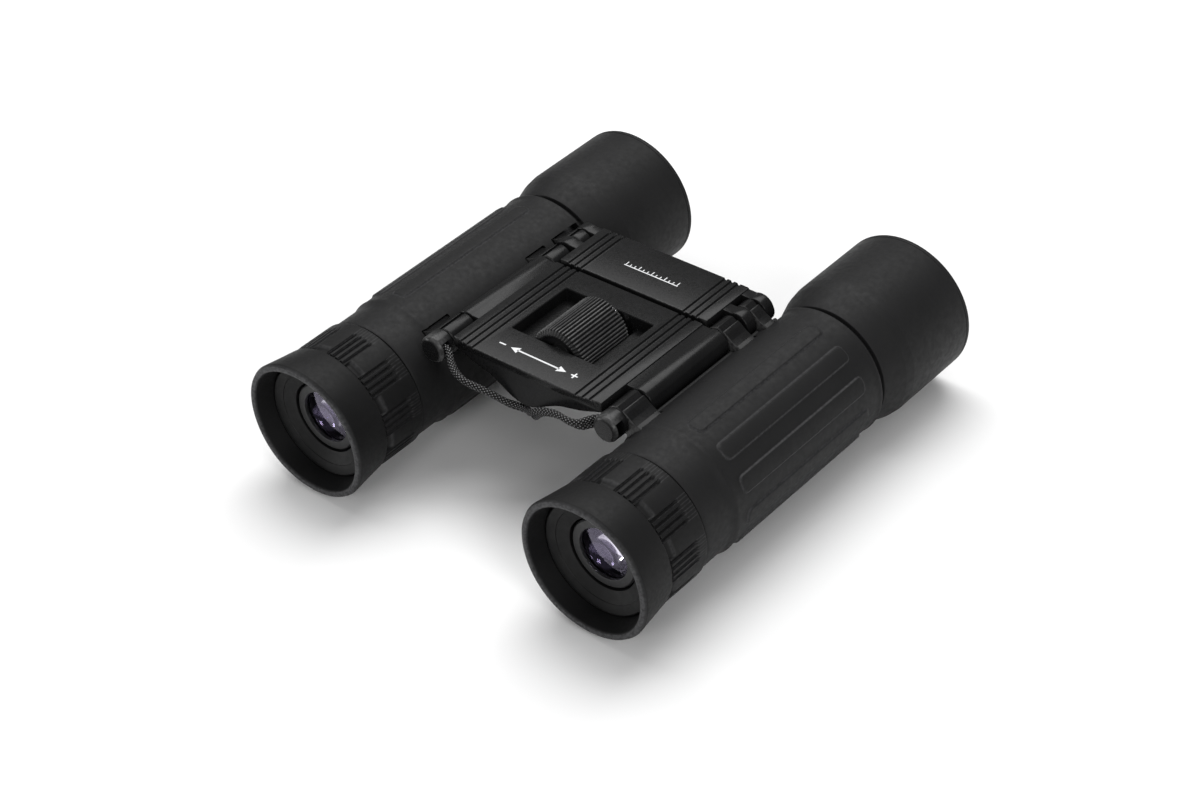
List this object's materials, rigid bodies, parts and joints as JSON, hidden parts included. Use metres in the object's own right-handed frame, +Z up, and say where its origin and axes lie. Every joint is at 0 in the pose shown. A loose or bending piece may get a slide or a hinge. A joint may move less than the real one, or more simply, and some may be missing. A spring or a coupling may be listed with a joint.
{
  "type": "compact folding binoculars",
  "caption": "Compact double-hinge folding binoculars with a central focus wheel, ribbed rubber-armoured barrels, round eyecups and a braided carrying loop.",
  "frame": {"origin": "centre of the footprint, on the surface that both objective hoods stand on", "axes": "+X to the user's right, +Y from the eyecups to the objectives, +Z up from the surface to the bridge's flat top"},
  "size_m": [0.1078, 0.11, 0.0349],
  "materials": {
    "armour_rubber": "fine matte",
    "eyecup_rubber": "satin",
    "painted_metal": "satin black paint",
    "black_plastic": "matte",
    "black_anodised": "matte black anodised",
    "steel": "ground",
    "brass": "machined",
    "coated_glass": "polished with an anti-reflection coat",
    "prism_glass": "polished",
    "braided_cord": "braided"
  },
  "bodies": {
    "bridge": {"rear_bridge": "painted_metal", "left_hinge_rod": "steel", "right_hinge_rod": "steel", "left_strap_eyelet": "painted_metal", "right_strap_eyelet": "painted_metal", "thrust_washer": "steel", "loop_strand_upper": "braided_cord", "loop_strand_lower": "braided_cord"},
    "focus_wheel": {"focus_wheel": "painted_metal", "focus_spindle": "steel"},
    "front_bridge": {"front_bridge": "painted_metal", "focus_nut": "brass"},
    "left_barrel": {"left_body": "black_plastic", "left_armour": "armour_rubber", "left_field_stop": "black_plastic", "left_prism_cage": "black_plastic", "left_roof_prism": "prism_glass", "left_penta_prism": "prism_glass", "left_eyecup": "eyecup_rubber", "left_eyepiece_housing": "black_plastic", "left_grip_ring": "eyecup_rubber", "left_eyepiece_tube": "black_anodised", "left_eye_lens": "coated_glass", "left_lens_spacer": "black_plastic", "left_field_lens": "coated_glass", "left_eyepiece_retainer": "black_plastic"},
    "right_barrel": {"right_body": "black_plastic", "right_armour": "armour_rubber", "right_field_stop": "black_plastic", "right_prism_cage": "black_plastic", "right_roof_prism": "prism_glass", "right_penta_prism": "prism_glass"},
    "left_objective": {"left_objective_tube": "black_anodised", "left_hood": "armour_rubber", "left_objective_flint": "coated_glass", "left_objective_crown": "coated_glass", "left_objective_retainer": "black_anodised"},
    "right_objective": {"right_objective_tube": "black_anodised", "right_hood": "armour_rubber", "right_objective_flint": "coated_glass", "right_objective_crown": "coated_glass", "right_objective_retainer": "black_anodised"},
    "diopter_ring": {"right_eyecup": "eyecup_rubber", "right_eyepiece_housing": "black_plastic", "right_grip_ring": "eyecup_rubber"},
    "right_eyepiece": {"right_eyepiece_tube": "black_anodised", "right_eye_lens": "coated_glass", "right_lens_spacer": "black_plastic", "right_field_lens": "coated_glass", "right_eyepiece_retainer": "black_plastic"}
  },
  "joints": [
    {"name": "focus_turn", "type": "hinge", "parent": "bridge", "child": "focus_wheel", "pos_m": [0, -0.009, 0.02797], "axis": [0, 1, 0], "range_deg": [-60, 240]},
    {"name": "bridge_slide", "type": "slide", "parent": "bridge", "child": "front_bridge", "axis": [0, 1, 0], "range_m": [-0.0006, 0.0024]},
    {"name": "left_fold", "type": "hinge", "parent": "bridge", "child": "left_barrel", "pos_m": [-0.0232, -0.005, 0.02845], "axis": [0, -1, 0], "range_deg": [0, 69]},
    {"name": "right_fold", "type": "hinge", "parent": "bridge", "child": "right_barrel", "pos_m": [0.0232, -0.005, 0.02845], "axis": [0, 1, 0], "range_deg": [0, 69]},
    {"name": "left_objective_slide", "type": "slide", "parent": "left_barrel", "child": "left_objective", "axis": [0, 1, 0], "range_m": [-0.0006, 0.0024]},
    {"name": "right_objective_slide", "type": "slide", "parent": "right_barrel", "child": "right_objective", "axis": [0, 1, 0], "range_m": [-0.0006, 0.0024]},
    {"name": "diopter_turn", "type": "hinge", "parent": "right_barrel", "child": "diopter_ring", "pos_m": [0.0375, -0.04, 0.0164], "axis": [0, 1, 0], "range_deg": [-50, 50]},
    {"name": "diopter_slide", "type": "slide", "parent": "right_barrel", "child": "right_eyepiece", "axis": [0, 1, 0], "range_m": [-0.0007, 0.0007]}
  ],
  "couplings": [
    {"joint": "focus_turn", "follows": "bridge_slide", "rad_per_m": 1745.3},
    {"joint": "left_objective_slide", "follows": "bridge_slide", "ratio": 1},
    {"joint": "right_objective_slide", "follows": "bridge_slide", "ratio": 1},
    {"joint": "diopter_turn", "follows": "diopter_slide", "rad_per_m": 1246.6}
  ]
}
